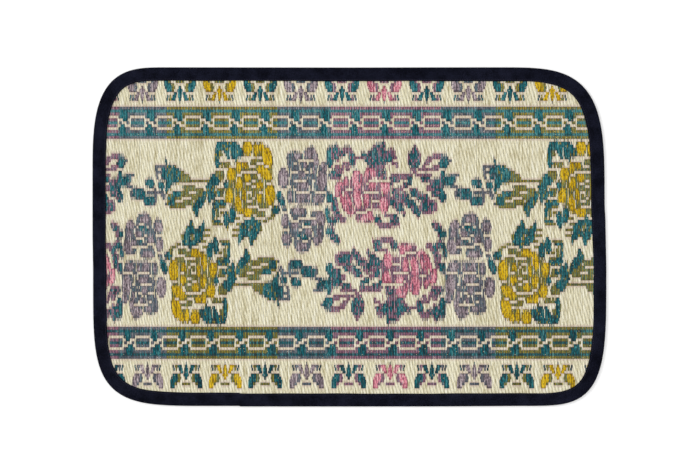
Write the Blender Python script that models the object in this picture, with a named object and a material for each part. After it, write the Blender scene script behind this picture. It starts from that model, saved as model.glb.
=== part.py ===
"""Rush doormat: a flat woven panel of rushes with one cloth tape bound round its edge.

Metres, +Z up. The mat lies flat on the floor at z = 0 with its long way along X, and the origin is on
the floor under the middle of the mat. The front edge, where the tape's two ends lap, faces -Y.
"""

import math
from collections import namedtuple

import bmesh
import bpy
from mathutils import Vector

# Woven panel. It lies on the floor, and climbs a little at its rim to enter the folded tape.
PANEL_THICKNESS = 0.0028
RIM_THICKNESS = 0.0020
PANEL_SLOPE = 0.022
SLOPE_START = 0.001

# Edge tape, folded round the rim. Its thickness is the cloth and the hem turned under it.
TAPE_THICKNESS = 0.0010
TAPE_FOLD = 0.0016
TAPE_HEM_ROUND = 0.0005
CLEARANCE = 0.0003
RIM_BOTTOM = TAPE_THICKNESS + CLEARANCE
TAPE_HEIGHT = RIM_BOTTOM + RIM_THICKNESS + CLEARANCE + TAPE_THICKNESS

# Steps of the curves
CORNER_STEPS = 16
FOLD_STEPS = 4
SMOOTH_ANGLE = math.radians(40)

# The four corners, in the order in which the tape runs round the mat, anticlockwise seen from above.
# Each is a quarter of a superellipse. Reach is how far the mat comes out there along X and Y, and the
# tape's face is how wide it shows from above.
Corner = namedtuple("Corner", "name reach_x reach_y radius_x radius_y squareness tape_face")
CORNERS = (
    Corner("back right", 0.4470, 0.2970, 0.188, 0.240, 3.75, 0.0243),
    Corner("back left", 0.4500, 0.2970, 0.128, 0.189, 3.28, 0.0234),
    Corner("front left", 0.4490, 0.2960, 0.228, 0.240, 4.64, 0.0234),
    Corner("front right", 0.4500, 0.2960, 0.150, 0.240, 4.10, 0.0224),
)

# Stops along the sides between two corners, in the same order. Along is a place on X for the back and
# the front, and on Y for the left and the right. Reach is how far the edge comes out there, and lap is
# how much the tape's face is lifted by the end that lies under it.
Stop = namedtuple("Stop", "along reach lap")
BACK_STOPS = (
    Stop(0.140, 0.2969, 0.0),
    Stop(0.000, 0.2966, 0.0),
    Stop(-0.160, 0.2968, 0.0),
)
LEFT_STOPS = (
    Stop(0.050, 0.4500, 0.0),
    Stop(0.000, 0.4499, 0.0),
)
FRONT_STOPS = (
    Stop(-0.1925, 0.2960, 0.0),
    Stop(-0.1915, 0.2969, 0.0006),
    Stop(-0.1650, 0.2969, 0.0006),
    Stop(-0.1500, 0.2969, 0.0),
    Stop(0.000, 0.2970, 0.0),
    Stop(0.150, 0.2969, 0.0),
    Stop(0.240, 0.2964, 0.0),
)
RIGHT_STOPS = (
    Stop(-0.030, 0.4496, 0.0),
    Stop(0.030, 0.4484, 0.0),
)
SIDES = (BACK_STOPS, LEFT_STOPS, FRONT_STOPS, RIGHT_STOPS)

# Finish of each piece: colour, then roughness
RUSH_FINISH = ((0.72, 0.64, 0.42, 1.0), 0.62)
TAPE_FINISH = ((0.006, 0.006, 0.014, 1.0), 0.85)

# A station is one place along the tape: a point of the mat's outer edge, the way out from it, the
# width of the tape's face and the lift of a lap.
Station = namedtuple("Station", "edge outward face lap")


def clear_scene():
    for obj in list(bpy.data.objects):
        bpy.data.objects.remove(obj, do_unlink=True)


def finish_material(name, finish):
    colour, roughness = finish
    material = bpy.data.materials.new(name)
    material.use_nodes = True
    shader = material.node_tree.nodes["Principled BSDF"]
    shader.inputs["Base Color"].default_value = colour
    shader.inputs["Roughness"].default_value = roughness
    shader.inputs["Metallic"].default_value = 0.0
    material.diffuse_color = colour
    return material


def turned(vector, quarter_turns):
    """The vector after this many quarter turns anticlockwise, seen from above."""
    for _ in range(quarter_turns):
        vector = Vector((-vector.y, vector.x))
    return vector


def corner_point(radius_x, radius_y, squareness, heading):
    """The point of a superellipse quarter whose outward direction is at this angle from X."""
    power = squareness / (squareness - 1)
    pull_x = radius_x * math.cos(heading)
    pull_y = radius_y * math.sin(heading)
    scale = (pull_x**power + pull_y**power) ** (-1 / squareness)
    return Vector(
        (
            radius_x * scale * pull_x ** (power - 1),
            radius_y * scale * pull_y ** (power - 1),
        )
    )


def corner_stations(corner, quarter):
    """Stations round one corner. Their headings lie closer together towards the corner's two ends."""
    along_x = quarter % 2 == 0
    radii = Vector((corner.radius_x, corner.radius_y))
    reach = Vector((corner.reach_x, corner.reach_y))
    if not along_x:
        radii = radii.yx
        reach = reach.yx
    stations = []
    for step in range(CORNER_STEPS + 1):
        heading = math.pi / 4 * (1 - math.cos(math.pi * step / CORNER_STEPS))
        point = reach - radii + corner_point(*radii, corner.squareness, heading)
        outward = Vector((math.cos(heading), math.sin(heading)))
        stations.append(
            Station(turned(point, quarter), turned(outward, quarter), corner.tape_face, 0.0)
        )
    return stations


def side_stations(stops, quarter, face_before, face_after):
    """Stations along the side after a corner. The tape's width changes evenly to the next corner's."""
    outward = turned(Vector((0.0, 1.0)), quarter)
    along_axis = Vector((1.0, 0.0)) if quarter % 2 == 0 else Vector((0.0, 1.0))
    stations = []
    for number, stop in enumerate(stops, start=1):
        share = number / (len(stops) + 1)
        edge = along_axis * stop.along + outward * stop.reach
        face = face_before + (face_after - face_before) * share
        stations.append(Station(edge, outward, face, stop.lap))
    return stations


def mat_stations():
    """All stations, anticlockwise from the right side's upper end."""
    stations = []
    for quarter, (corner, stops) in enumerate(zip(CORNERS, SIDES)):
        following = CORNERS[(quarter + 1) % len(CORNERS)]
        stations += corner_stations(corner, quarter)
        stations += side_stations(stops, quarter, corner.tape_face, following.tape_face)
    return stations


def tape_section(station):
    """The tape's folded section as (inset from the edge, height), anticlockwise seen along the tape."""
    face = station.face
    top = TAPE_HEIGHT + station.lap
    middle = top / 2
    section = []
    for step in range(FOLD_STEPS + 1):
        angle = math.pi * (step / FOLD_STEPS - 0.5)
        section.append((TAPE_FOLD * (1 - math.cos(angle)), middle * (1 + math.sin(angle))))
    section += [
        (face - TAPE_HEM_ROUND, top),
        (face, top - TAPE_HEM_ROUND),
        (face, TAPE_HEIGHT - TAPE_THICKNESS),
        (TAPE_THICKNESS, TAPE_HEIGHT - TAPE_THICKNESS),
        (TAPE_THICKNESS, TAPE_THICKNESS),
        (face, TAPE_THICKNESS),
        (face, 0.0),
    ]
    return section


def panel_section(station):
    """The panel's rim as (inset, height), from the flat underside round the cut edge to the flat top."""
    rim_inset = TAPE_THICKNESS + CLEARANCE
    rim_top = RIM_BOTTOM + RIM_THICKNESS
    slope_head = station.face + SLOPE_START
    slope_foot = slope_head + PANEL_SLOPE
    return [
        (slope_foot, 0.0),
        (slope_head, RIM_BOTTOM),
        (rim_inset, RIM_BOTTOM),
        (rim_inset, rim_top),
        (slope_head, rim_top),
        (slope_foot, PANEL_THICKNESS),
    ]


def section_ring(mesh, station, section):
    ring = []
    for inset, height in section:
        place = station.edge - station.outward * inset
        ring.append(mesh.verts.new((place.x, place.y, height)))
    return ring


def swept_mesh(stations, section_of, section_closed):
    """A mesh whose section is swept once round the mat. An open section is closed by two flat fields."""
    mesh = bmesh.new()
    rings = [section_ring(mesh, station, section_of(station)) for station in stations]
    edges = len(rings[0]) if section_closed else len(rings[0]) - 1
    for index, ring in enumerate(rings):
        following = rings[(index + 1) % len(rings)]
        for low in range(edges):
            high = (low + 1) % len(ring)
            mesh.faces.new((ring[low], following[low], following[high], ring[high]))
    if not section_closed:
        mesh.faces.new([ring[0] for ring in reversed(rings)])
        mesh.faces.new([ring[-1] for ring in rings])
    return mesh


def make_piece(name, mesh, material):
    bmesh.ops.recalc_face_normals(mesh, faces=mesh.faces)
    data = bpy.data.meshes.new(name)
    mesh.to_mesh(data)
    mesh.free()
    data.materials.append(material)
    data.shade_smooth()
    data.set_sharp_from_angle(angle=SMOOTH_ANGLE)
    piece = bpy.data.objects.new(name, data)
    bpy.context.scene.collection.objects.link(piece)
    return piece


def make_rush_panel(stations):
    """The woven panel, its cut edge pressed thin where the tape is sewn over it."""
    mesh = swept_mesh(stations, panel_section, section_closed=False)
    return make_piece("rush_panel", mesh, finish_material("rushes", RUSH_FINISH))


def make_edge_binding(stations):
    """The tape, folded over the panel's rim, its end lapped over its start on the front edge."""
    mesh = swept_mesh(stations, tape_section, section_closed=True)
    return make_piece("edge_binding", mesh, finish_material("edge tape", TAPE_FINISH))


def main():
    clear_scene()
    stations = mat_stations()
    make_rush_panel(stations)
    make_edge_binding(stations)


main()
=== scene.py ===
# %% [markdown]
# # A rush doormat, woven rush by rush
#
# This file dresses the plain solids of a floor mat with its real surface. The mat is one sheet of
# flower-weave rush matting: thin straight rushes lie side by side across it, and cotton warp threads hold
# them down. Some rushes are dyed, and the picture is made by which rush comes to the top in each place.
# A dark cloth tape is folded over the cut edge and sewn down.
#
# A picture could be laid on a flat sheet, but from the side it would look printed. Here every visible rush
# is a small rounded strip of its own that goes over and under the warps, so the pattern, the grooves and
# the light on them all come from one weave.

import math
from collections import namedtuple

import bpy
import numpy as np
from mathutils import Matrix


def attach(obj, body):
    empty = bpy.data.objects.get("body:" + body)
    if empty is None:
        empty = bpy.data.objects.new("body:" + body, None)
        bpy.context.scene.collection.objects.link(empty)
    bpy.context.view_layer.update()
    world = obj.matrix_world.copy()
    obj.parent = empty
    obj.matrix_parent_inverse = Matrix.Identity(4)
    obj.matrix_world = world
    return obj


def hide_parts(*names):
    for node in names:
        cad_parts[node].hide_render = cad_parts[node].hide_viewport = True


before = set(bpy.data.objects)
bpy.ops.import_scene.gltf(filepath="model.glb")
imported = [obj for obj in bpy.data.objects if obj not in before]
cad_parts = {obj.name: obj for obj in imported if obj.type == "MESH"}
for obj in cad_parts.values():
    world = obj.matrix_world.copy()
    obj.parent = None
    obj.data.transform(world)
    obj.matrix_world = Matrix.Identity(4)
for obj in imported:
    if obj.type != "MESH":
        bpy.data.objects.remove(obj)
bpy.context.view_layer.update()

# %% [markdown]
# ## The mat's outline
#
# The corners of the real mat were cut by eye, so each one is round in its own way. A quarter of a
# superellipse draws such a corner with three numbers: two radii and a squareness. It could be drawn as a
# free curve through many points, but then nobody could say what the points mean. The same sizes stand in
# the source of the solids, so the dressed edge lies exactly on them.

# %% Corners and sides
# Reach is how far the mat comes out at a corner, and tape_face how wide the tape shows from above. The
# corners stand in the order in which the tape runs, anticlockwise from the one at the back on the right.
Corner = namedtuple("Corner", "reach_x reach_y radius_x radius_y squareness tape_face")
CORNERS = (
    Corner(0.4470, 0.2970, 0.188, 0.240, 3.75, 0.0243),
    Corner(0.4500, 0.2970, 0.128, 0.189, 3.28, 0.0234),
    Corner(0.4490, 0.2960, 0.228, 0.240, 4.64, 0.0234),
    Corner(0.4500, 0.2960, 0.150, 0.240, 4.10, 0.0224),
)

# A stop is a place along a side: how far along, how far out the edge comes, and how much the tape is
# lifted there by its own end underneath.
Stop = namedtuple("Stop", "along reach lap")
BACK_STOPS = (Stop(0.140, 0.2969, 0.0), Stop(0.000, 0.2966, 0.0), Stop(-0.160, 0.2968, 0.0))
LEFT_STOPS = (Stop(0.050, 0.4500, 0.0), Stop(0.000, 0.4499, 0.0))
FRONT_STOPS = (
    Stop(-0.1925, 0.2960, 0.0),
    Stop(-0.1915, 0.2969, 0.0006),
    Stop(-0.1650, 0.2969, 0.0006),
    Stop(-0.1500, 0.2969, 0.0),
    Stop(0.000, 0.2970, 0.0),
    Stop(0.150, 0.2969, 0.0),
    Stop(0.240, 0.2964, 0.0),
)
RIGHT_STOPS = (Stop(-0.030, 0.4496, 0.0), Stop(0.030, 0.4484, 0.0))
SIDES = (BACK_STOPS, LEFT_STOPS, FRONT_STOPS, RIGHT_STOPS)
CORNER_STEPS = 48

# %% Walk once round the edge
def turned(place, quarter):
    """The place after so many quarter turns anticlockwise, seen from above."""
    for _ in range(quarter):
        place = np.array((-place[1], place[0]))
    return place


def corner_walk(corner, quarter):
    """Edge places round one corner, with the way out and the tape's width at each."""
    radii = np.array((corner.radius_x, corner.radius_y))
    reach = np.array((corner.reach_x, corner.reach_y))
    if quarter % 2:
        radii, reach = radii[::-1], reach[::-1]
    power = corner.squareness / (corner.squareness - 1)
    walk = []
    for step in range(CORNER_STEPS + 1):
        heading = math.pi / 4 * (1 - math.cos(math.pi * step / CORNER_STEPS))
        outward = np.array((math.cos(heading), math.sin(heading)))
        pull = np.maximum(radii * outward, 0.0)
        scale = (pull**power).sum() ** (-1 / corner.squareness)
        place = reach - radii + radii * scale * pull ** (power - 1)
        walk.append((turned(place, quarter), turned(outward, quarter), corner.tape_face, 0.0))
    return walk


def side_walk(stops, quarter, face_before, face_after):
    """Edge places along the side that follows a corner."""
    outward = turned(np.array((0.0, 1.0)), quarter)
    along_axis = np.array((1.0, 0.0)) if quarter % 2 == 0 else np.array((0.0, 1.0))
    walk = []
    for number, stop in enumerate(stops, start=1):
        face = face_before + (face_after - face_before) * number / (len(stops) + 1)
        walk.append((along_axis * stop.along + outward * stop.reach, outward, face, stop.lap))
    return walk


def edge_walk():
    """The whole edge, anticlockwise from the right side's upper end, as four arrays."""
    walk = []
    for quarter, (corner, stops) in enumerate(zip(CORNERS, SIDES)):
        following = CORNERS[(quarter + 1) % len(CORNERS)]
        walk += corner_walk(corner, quarter)
        walk += side_walk(stops, quarter, corner.tape_face, following.tape_face)
    return [np.array(column) for column in zip(*walk)]


edge, outward, tape_face, lap_lift = edge_walk()
edge_steps = np.linalg.norm(np.roll(edge, -1, axis=0) - edge, axis=1)
EDGE_LENGTH = float(edge_steps.sum())
print("edge places", len(edge), "length round the mat", round(EDGE_LENGTH, 4), "m")

# %% [markdown]
# ## How far in from the edge a place lies
#
# Three things depend on this one distance: where the tape covers the rushes, where the panel climbs a
# little to enter the folded tape, and where the strips may end unseen. It is measured to the edge's short
# straight pieces, for many places at once.

# %% Distance in from the edge
def inset_of(x, y):
    """For arrays of places: the distance in from the mat's edge, and the tape's width nearest to it.

    The edge is walked anticlockwise, so a place to the right of the nearest piece is outside the mat, and
    its distance is negative.
    """
    places = np.stack((np.ravel(x), np.ravel(y)), axis=1)
    nearest = np.full(len(places), np.inf)
    side = np.ones(len(places))
    width = np.zeros(len(places))
    for start, run, face in zip(edge, np.roll(edge, -1, axis=0) - edge, tape_face):
        length = run @ run
        if length == 0:
            continue
        offset = places - start
        share = np.clip(offset @ run / length, 0.0, 1.0)
        distance = np.hypot(*(offset - share[:, None] * run).T)
        closer = distance < nearest
        nearest[closer] = distance[closer]
        side[closer] = np.sign(run[0] * offset[closer, 1] - run[1] * offset[closer, 0])
        width[closer] = face
    shape = np.shape(x)
    return (nearest * side).reshape(shape), width.reshape(shape)


middle_inset, _ = inset_of(np.array([0.0]), np.array([0.0]))
print("the middle lies", round(float(middle_inset[0]), 4), "m in from the edge")

# %% [markdown]
# ## Counting rushes and warps
#
# A weaver reads the picture from a chart: so many rushes across, so many warps up. The mat has about 620
# rushes and 116 warps. Both are counted here from the point about which the flowers turn, since the field
# looks the same upside down. The warps lie a little wider apart towards the two long sides. The rushes
# were beaten closer towards the mat's left end. Both spacings follow a soft curve.

# %% Where each rush and warp lies
TURNING_POINT = (0.0640, 0.0072)
WARP_SPACING = 0.005013
WARP_SPREAD = 0.0003
WIDEST_RUSH = 0.001489
WIDEST_AT = 60
CROWDING_POWER = 2.35
Crowding = namedtuple("Crowding", "rushes_away narrowing")
LEFT_CROWDING = Crowding(377, 0.000194)
RIGHT_CROWDING = Crowding(198, 0.000040)
FIRST_RUSH = -360
LAST_RUSH = 258
TOP_WARP = 56
BOTTOM_WARP = -59

RUSH = np.arange(FIRST_RUSH, LAST_RUSH + 1)
WARP = np.arange(TOP_WARP, BOTTOM_WARP - 1, -1.0)


def rush_spacing(rush):
    """Spacing of the rushes at this count from the turning point."""
    away = np.abs(rush - WIDEST_AT)
    left = LEFT_CROWDING.narrowing * (away / LEFT_CROWDING.rushes_away) ** CROWDING_POWER
    right = RIGHT_CROWDING.narrowing * (away / RIGHT_CROWDING.rushes_away) ** CROWDING_POWER
    return WIDEST_RUSH - np.where(rush < WIDEST_AT, left, right)


def warp_place(warp):
    """Where a warp lies across the mat, at this count from the turning point."""
    return TURNING_POINT[1] + WARP_SPACING * (warp + WARP_SPREAD * warp * np.abs(warp))


rush_width = rush_spacing(RUSH)
rush_x = np.cumsum(rush_width) - rush_width / 2
rush_x += TURNING_POINT[0] - rush_x[RUSH == 0]
warp_y = warp_place(WARP)
print("rushes from", round(rush_x[0], 4), "to", round(rush_x[-1], 4), "m, about",
      round(1000 * rush_width.mean(), 2), "mm each")
print("warps from", round(warp_y[-1], 4), "to", round(warp_y[0], 4), "m")

# %% [markdown]
# ## The dyes
#
# Beside the natural rushes, every place across the mat has teal ones and one other dye. That other dye
# changes along the mat in wide stripes: rose pink in the middle, then mauve, then ochre. Where the weaver
# lets teal and the other dye come up by turns, rush by rush, the eye mixes them into a third shade, which
# is olive beside ochre and plum beside pink. The chart therefore needs four marks only.

# %% Marks of the chart
NATURAL, TEAL, FLOWER, SHADE = range(4)
PINK, MAUVE, OCHRE = range(3)

# The pattern repeats after so many rushes. Each reach is counted from the middle of the pink stripe.
REPEAT = 396
PINK_REACH = 65
MAUVE_REACH = 128.5


def stripe_dye(rush):
    """Which dye the other rushes have at this count."""
    away = np.abs((rush + REPEAT / 2) % REPEAT - REPEAT / 2)
    return np.where(away < PINK_REACH, PINK, np.where(away < MAUVE_REACH, MAUVE, OCHRE))


chart = np.full((len(WARP), len(RUSH)), NATURAL)
chart_rush, chart_warp = np.meshgrid(RUSH.astype(float), WARP)
print("chart of", chart.shape[0], "warps by", chart.shape[1], "rushes")

# %% [markdown]
# ## Drawing in the chart
#
# The flowers and leaves are noted as leaning ovals, because a stepped oval weaves well. An oval of
# about two rushes or one warp comes out as a plain line. Every shape is drawn in each repeat, and once more
# turned upside down. Neighbouring rushes change a little sooner or later, always the same ones in a repeat,
# so a slanting edge comes out like a comb and not like a stair.

# %% Ovals
COMB = 0.24
LOOSE = 0.16
LINE_WIDE = 2.2
LINE_HIGH = 1.3
PATTERN_SEED = 11

# The power of an outline: 2 would be a true oval, and a high power is nearly an oblong.
ROUND = 2.3
SQUARE = 9.0

pattern_chance = np.random.default_rng(PATTERN_SEED)
comb_teeth = COMB * np.where(np.arange(REPEAT) % 2 == 0, 1, -1)
comb_teeth = comb_teeth + LOOSE * pattern_chance.uniform(-1, 1, REPEAT)
Oval = namedtuple("Oval", "rush warp wide high lean", defaults=(0.0,))


def lay(mark, shape):
    """Marks one oval. It is so many rushes wide and warps high, and leans right with every warp down."""
    is_line = shape.wide <= LINE_WIDE or shape.high <= LINE_HIGH
    bend = SQUARE if is_line else ROUND
    for repeat in (-REPEAT, 0, REPEAT):
        for turn in (1, -1):
            rush = turn * (chart_rush - repeat)
            level = turn * chart_warp - shape.warp
            if not is_line:
                level = level + comb_teeth[rush.astype(int) % REPEAT]
            side = rush - shape.rush + shape.lean * level
            inside = np.abs(2 * side / shape.wide) ** bend + np.abs(2 * level / shape.high) ** bend <= 1
            chart[inside] = mark


# %% Leaves, petals and what parts them
RIM_RUSHES = 1.2
RIM_WARPS = 0.3
FULLER_RUSHES = 0.8
FULLER_WARPS = 0.2
SHADOW_RUSHES = 1.6
SHADOW_WARPS = 0.4
THINNER = 0.7
THINNEST = 1.01


def mixed(*shapes):
    """Shapes in the mixed shade."""
    for shape in shapes:
        lay(SHADE, Oval(*shape))


def petals(*shapes):
    """Petals in the other dye of their stripe, each with a shadow round it that parts it from the last."""
    for shape in shapes:
        petal = Oval(*shape)
        lay(SHADE, petal._replace(wide=petal.wide + SHADOW_RUSHES, high=petal.high + SHADOW_WARPS))
        lay(FLOWER, petal)


def leaves(*shapes):
    """Teal shapes inside a rim of the mixed shade. All rims come first, so that leaves run together."""
    fuller = []
    for shape in shapes:
        leaf = Oval(*shape)
        fuller.append(leaf._replace(wide=leaf.wide + FULLER_RUSHES, high=leaf.high + FULLER_WARPS))
    for leaf in fuller:
        lay(SHADE, leaf._replace(wide=leaf.wide + RIM_RUSHES, high=leaf.high + RIM_WARPS))
    for leaf in fuller:
        lay(TEAL, leaf)


def parted(*shapes):
    """Lines and gaps of natural rush, laid last. Upright gaps are drawn thin, for a rush looks wide there."""
    for shape in shapes:
        gap = Oval(*shape)
        if gap.wide <= LINE_WIDE:
            gap = gap._replace(wide=max(gap.wide - THINNER, THINNEST))
        lay(NATURAL, gap)


# %% [markdown]
# ## Full-blown flowers
#
# A rose is a heap of petals round a heart. Its whole mass is laid in the mixed shade first, which stays as
# the shadow between the petals. The petals come next, in the flower's own dye, and fine lines of natural
# rush part them last. Each shape below is noted as a weaver would: rush and warp of its middle, how many
# rushes wide, how many warps high, and how far it leans. Rings of equal petals would be shorter to write,
# but they look like a dahlia, and these are garden roses.

# %% The ochre rose and its bud
mixed(
    (-152.5, 28.6, 14, 4.8), (-153, 25, 16, 1), (-159, 24, 7, 1.9), (-163, 15.5, 56, 15.5),
    (-160, 9.0, 42, 5.5), (-150, 21.5, 30, 5.0), (-175, 22.0, 16, 5.0), (-149.5, 6.6, 13, 2.4),
)
petals(
    (-165.5, 29.3, 11.5, 4.8), (-155.2, 28.6, 5, 5.0), (-148, 29.4, 7, 3.4), (-141.5, 26.2, 11.5, 7.4, 0.5),
    (-176.3, 22.7, 6, 4.2), (-169, 23.4, 7, 2.8), (-144.5, 20.7, 15, 4.6, 1.8), (-185.5, 20.2, 9.5, 4.6),
    (-166, 19.0, 8.5, 2.6), (-150.3, 16.3, 8, 3.2), (-176, 17.0, 7, 4.4), (-169.5, 13.2, 4.5, 4.2),
    (-176, 9.9, 8.5, 6.0, 0.4), (-188, 12.8, 9, 5.0), (-151, 11.8, 6, 3.0), (-165.5, 7.2, 12.5, 3.2),
    (-138.2, 13.2, 11.5, 7.2),
)
parted(
    (-159.2, 27.8, 1.6, 3.4), (-150.5, 26, 6, 1), (-165, 26, 5, 1), (-172, 25, 14, 1), (-149.5, 24, 8, 1),
    (-159.5, 23, 7, 1), (-142, 23, 5, 1), (-184.5, 23, 10, 1), (-163.5, 21, 19, 1), (-175.5, 20, 5, 1),
    (-178.8, 18.9, 1.8, 2.2), (-151.2, 20, 4, 1), (-150.6, 19, 4, 1), (-148.2, 18, 2.0, 1),
    (-145.2, 14.6, 1.8, 7.4), (-158, 18, 5, 1), (-164.5, 17, 5.5, 1), (-139.5, 17, 5, 1),
    (-174.2, 13.2, 1.6, 2.8), (-181.2, 13.0, 1.6, 4.8), (-183.2, 16.4, 1.8, 2.0), (-191, 17, 4, 1),
    (-163.7, 14, 5, 1), (-166, 12.6, 1.2, 2.9), (-160.8, 13.4, 1.6, 1.9), (-158, 12, 3, 1),
    (-163, 11, 6, 1), (-158, 16, 4, 1), (-149, 14, 4, 1), (-158.5, 9, 14, 1), (-151.4, 8.4, 2, 1.2),
    (-144.5, 8, 12, 1), (-155.6, 13.8, 1.2, 1.9), (-153.8, 10.6, 1.2, 1.9), (-169.8, 16.2, 1.2, 1.9),
    (-171.6, 10.2, 1.2, 2.9),
)

# %% The upper mauve rose
mixed(
    (-108.5, 26.4, 20, 3.6), (-113.5, 24.0, 9, 3.4), (-99, 20.0, 34, 11), (-113, 12.6, 9, 5.0),
    (-97, 12.4, 30, 5.0), (-79, 17.5, 20, 12), (-81, 11.8, 17, 4.2), (-90, 24.4, 22, 5.4),
    (-88, 29, 4, 1.9),
)
petals(
    (-89.5, 27.4, 14, 3.4), (-83, 25.0, 4.5, 4.6), (-122, 19.0, 12, 6.6), (-106, 26.4, 9, 1.6),
    (-99.5, 20.0, 9, 2.2), (-98, 16.2, 15, 2.6), (-76, 18.0, 11.5, 7.0), (-73.5, 22.6, 6, 3.4),
    (-85, 22.4, 4, 3.4), (-101.5, 12.0, 11, 2.6), (-80.5, 11.8, 12, 2.6), (-113.5, 12.4, 5, 3.2),
    (-95.5, 23.4, 5, 2.0), (-91.5, 12.2, 5, 2.2),
)
parted(
    (-98, 26.6, 1.8, 2.4, 0.4), (-95, 25, 18, 1), (-107.5, 24, 4, 1), (-102.5, 23.2, 2, 2.9, 0.9),
    (-97, 22, 3, 1), (-88.5, 21.5, 1.8, 2.9), (-94, 21, 4, 1), (-113.2, 20.6, 2, 4.0), (-114.8, 18, 2, 3.0),
    (-113.3, 16, 2, 1.9), (-108.5, 21, 7, 1), (-102, 18, 14, 1), (-93, 19, 2, 1), (-98.7, 14, 15.5, 1),
    (-86.4, 16.5, 2, 3.4), (-84, 14.4, 1.8, 1.9), (-84.8, 18, 3, 1), (-76.5, 14, 13, 1),
    (-80.4, 22.0, 2, 4.4, -0.6), (-77.6, 24, 2, 1.9), (-72, 25, 2, 1), (-68, 22, 2, 2.9),
    (-68.8, 19, 2, 1.9), (-109, 9, 28, 1), (-118.6, 13.3, 2, 3.4), (-92.5, 24, 2, 1), (-90.2, 19, 1.2, 1.9),
    (-109.6, 16, 1.2, 1.9), (-108.6, 12.6, 1.2, 2.9), (-88.6, 12.0, 1.4, 2.9), (-90.5, 16, 1.2, 1.9),
)

# %% The lower mauve rose
mixed(
    (-104, 7.0, 21, 4.2), (-120.5, 8.2, 6, 1.6), (-83, 6.2, 13, 2.6), (-98, 1.0, 48, 8.0),
    (-118, -2.2, 12, 5.4, 0.3), (-99, -3.6, 22, 6.4), (-81, 1.0, 15, 9.0),
)
petals(
    (-104, 7.6, 15, 2.4), (-120, 4.0, 8, 4.2), (-78, 4.6, 11, 5.2), (-85.5, 3.4, 5.5, 2.6),
    (-108, 2.2, 8, 2.4), (-92, 0.4, 8, 2.0, 0.4), (-118.5, -2.0, 9.5, 3.6, 0.5), (-80.5, -2.6, 9.5, 3.2),
    (-100, -4.8, 14, 2.8), (-79.5, 0.0, 6, 2.2),
)
leaves((-103, -0.8, 5, 1.9), (-96, -1.8, 7, 1.9), (-94, 3.0, 6.5, 1.4))
parted(
    (-120, 7, 6, 1), (-93.5, 5, 21, 1), (-108, 4, 8, 1), (-102, 3, 2, 1), (-98.4, 2.5, 2, 2.9),
    (-93.5, 2, 9, 1), (-81.2, 2.2, 1.8, 2.4), (-101.5, 1, 4, 1), (-119, 1, 8, 1), (-115.8, 1.2, 1.8, 2.9),
    (-114.4, 5.4, 1.8, 2.4), (-88, 1.0, 2, 1.2), (-86.3, -0.8, 2.2, 2.4), (-104, -2, 3, 1), (-96, -3, 6, 1),
    (-88.3, -3.4, 2, 2.0), (-110.5, -2.6, 1.8, 2.4), (-113.4, -1.0, 1.8, 1.9), (-98, -1, 2, 1),
    (-90.6, -2, 2, 1), (-91, 7.4, 2.4, 4.0),
)

# %% The pink rose
mixed(
    (-47.5, 17.2, 9, 4.6), (-25, 19.0, 8, 4.6), (-6, 20.6, 12, 4.0), (-17, 16.0, 20, 3.4),
    (-13, 12.2, 14, 8.4), (-32, 13.0, 44, 12.0), (-26, 5.4, 22, 3.4), (-3, 13.6, 17, 12.4),
    (-19.5, 6.8, 9, 1.9),
)
petals(
    (-55.5, 15.2, 9, 5.6, -0.4), (-34.2, 18.3, 11, 6.6), (-18.5, 20.6, 12.5, 3.6), (-16.5, 16.2, 9, 2.4),
    (-1, 15.8, 11, 4.4, 0.4), (-46, 10.2, 13, 8.2, 1.2), (-33.5, 11.8, 9.5, 7.0, 0.4),
    (-22.6, 11.1, 7, 4.4, 0.2), (-2.4, 9.6, 10, 5.2, 0.2), (-22, 5.0, 15, 2.4), (-47.5, 17.6, 4.5, 2.4),
    (-25, 18.8, 3, 2.4), (-19, 7, 5, 1.2),
)
mixed(
    (-46.5, 12.2, 2.4, 1.8), (-44.2, 9.8, 2.4, 1.8), (-41.5, 8.2, 4, 1.9), (-31.5, 19.0, 1.6, 2.4),
    (-30.2, 13.6, 1.6, 1.9), (-52.6, 15.0, 1.6, 2.4), (-19.6, 20.4, 1.6, 1.9),
)
parted(
    (-42.9, 17.5, 2, 4.8), (-27.4, 20.4, 1.8, 1.9), (-22.2, 17, 3, 1), (-8.5, 18, 24, 1),
    (-11.2, 17.0, 1.8, 1.2), (-17.5, 14, 17, 1), (-43.5, 15, 7, 1), (-4.4, 13.8, 1.8, 2.6, 0.6),
    (-50.4, 13.6, 2.6, 1.9), (-39.8, 11.0, 2, 5.8, 0.5), (-28, 11.2, 2, 4.8, 0.5), (-16.9, 10.6, 1.8, 3.8),
    (-12, 11, 8, 1), (-7.6, 10.6, 1.8, 2.0, 0.8), (-29, 7, 12, 1.2), (-20, 8, 6, 1), (-13, 7.8, 2.4, 1.6),
    (-6.8, 19.4, 1.8, 1.9), (-27.3, 15.8, 2, 1.9), (-36.8, 8.4, 1.8, 1.9), (-56.2, 11.8, 1.8, 1.9, 0.8),
)
print("flowers take", round(float((chart != NATURAL).mean()), 3), "of the field")

# %% [markdown]
# ## Leaves and buds
#
# The leaves are teal with a rim in the mixed shade, and their teeth are small ovals that stand on their
# upper or lower edge. Curled leaves are a bow of such shapes round a natural inside. Broad striped ones
# lie in bands. In a few places of a leaf the other dye comes up too, most often in the pink stripe.

# %% Leaves round the ochre rose
leaves(
    (-203, 26.6, 5, 5.0), (-199.5, 29.6, 9, 3.6), (-202.3, 24.2, 5, 2.6), (-195, 30.4, 8, 2.8),
    (-191, 28.4, 8, 3.8, 1.6), (-189, 26.6, 3, 2.0, 1.0), (-182.5, 29.4, 15, 4.2, 0.8),
    (-178, 27.8, 14, 3.6), (-181.4, 26.0, 6, 2.8),
)
mixed((-198, 27.6, 6, 2.8), (-193, 23.6, 16, 1.9))
parted((-186.6, 27.6, 1.8, 3.0), (-190.5, 25, 20, 1), (-193.6, 27.0, 3.4, 3.2, 1.4))

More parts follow.
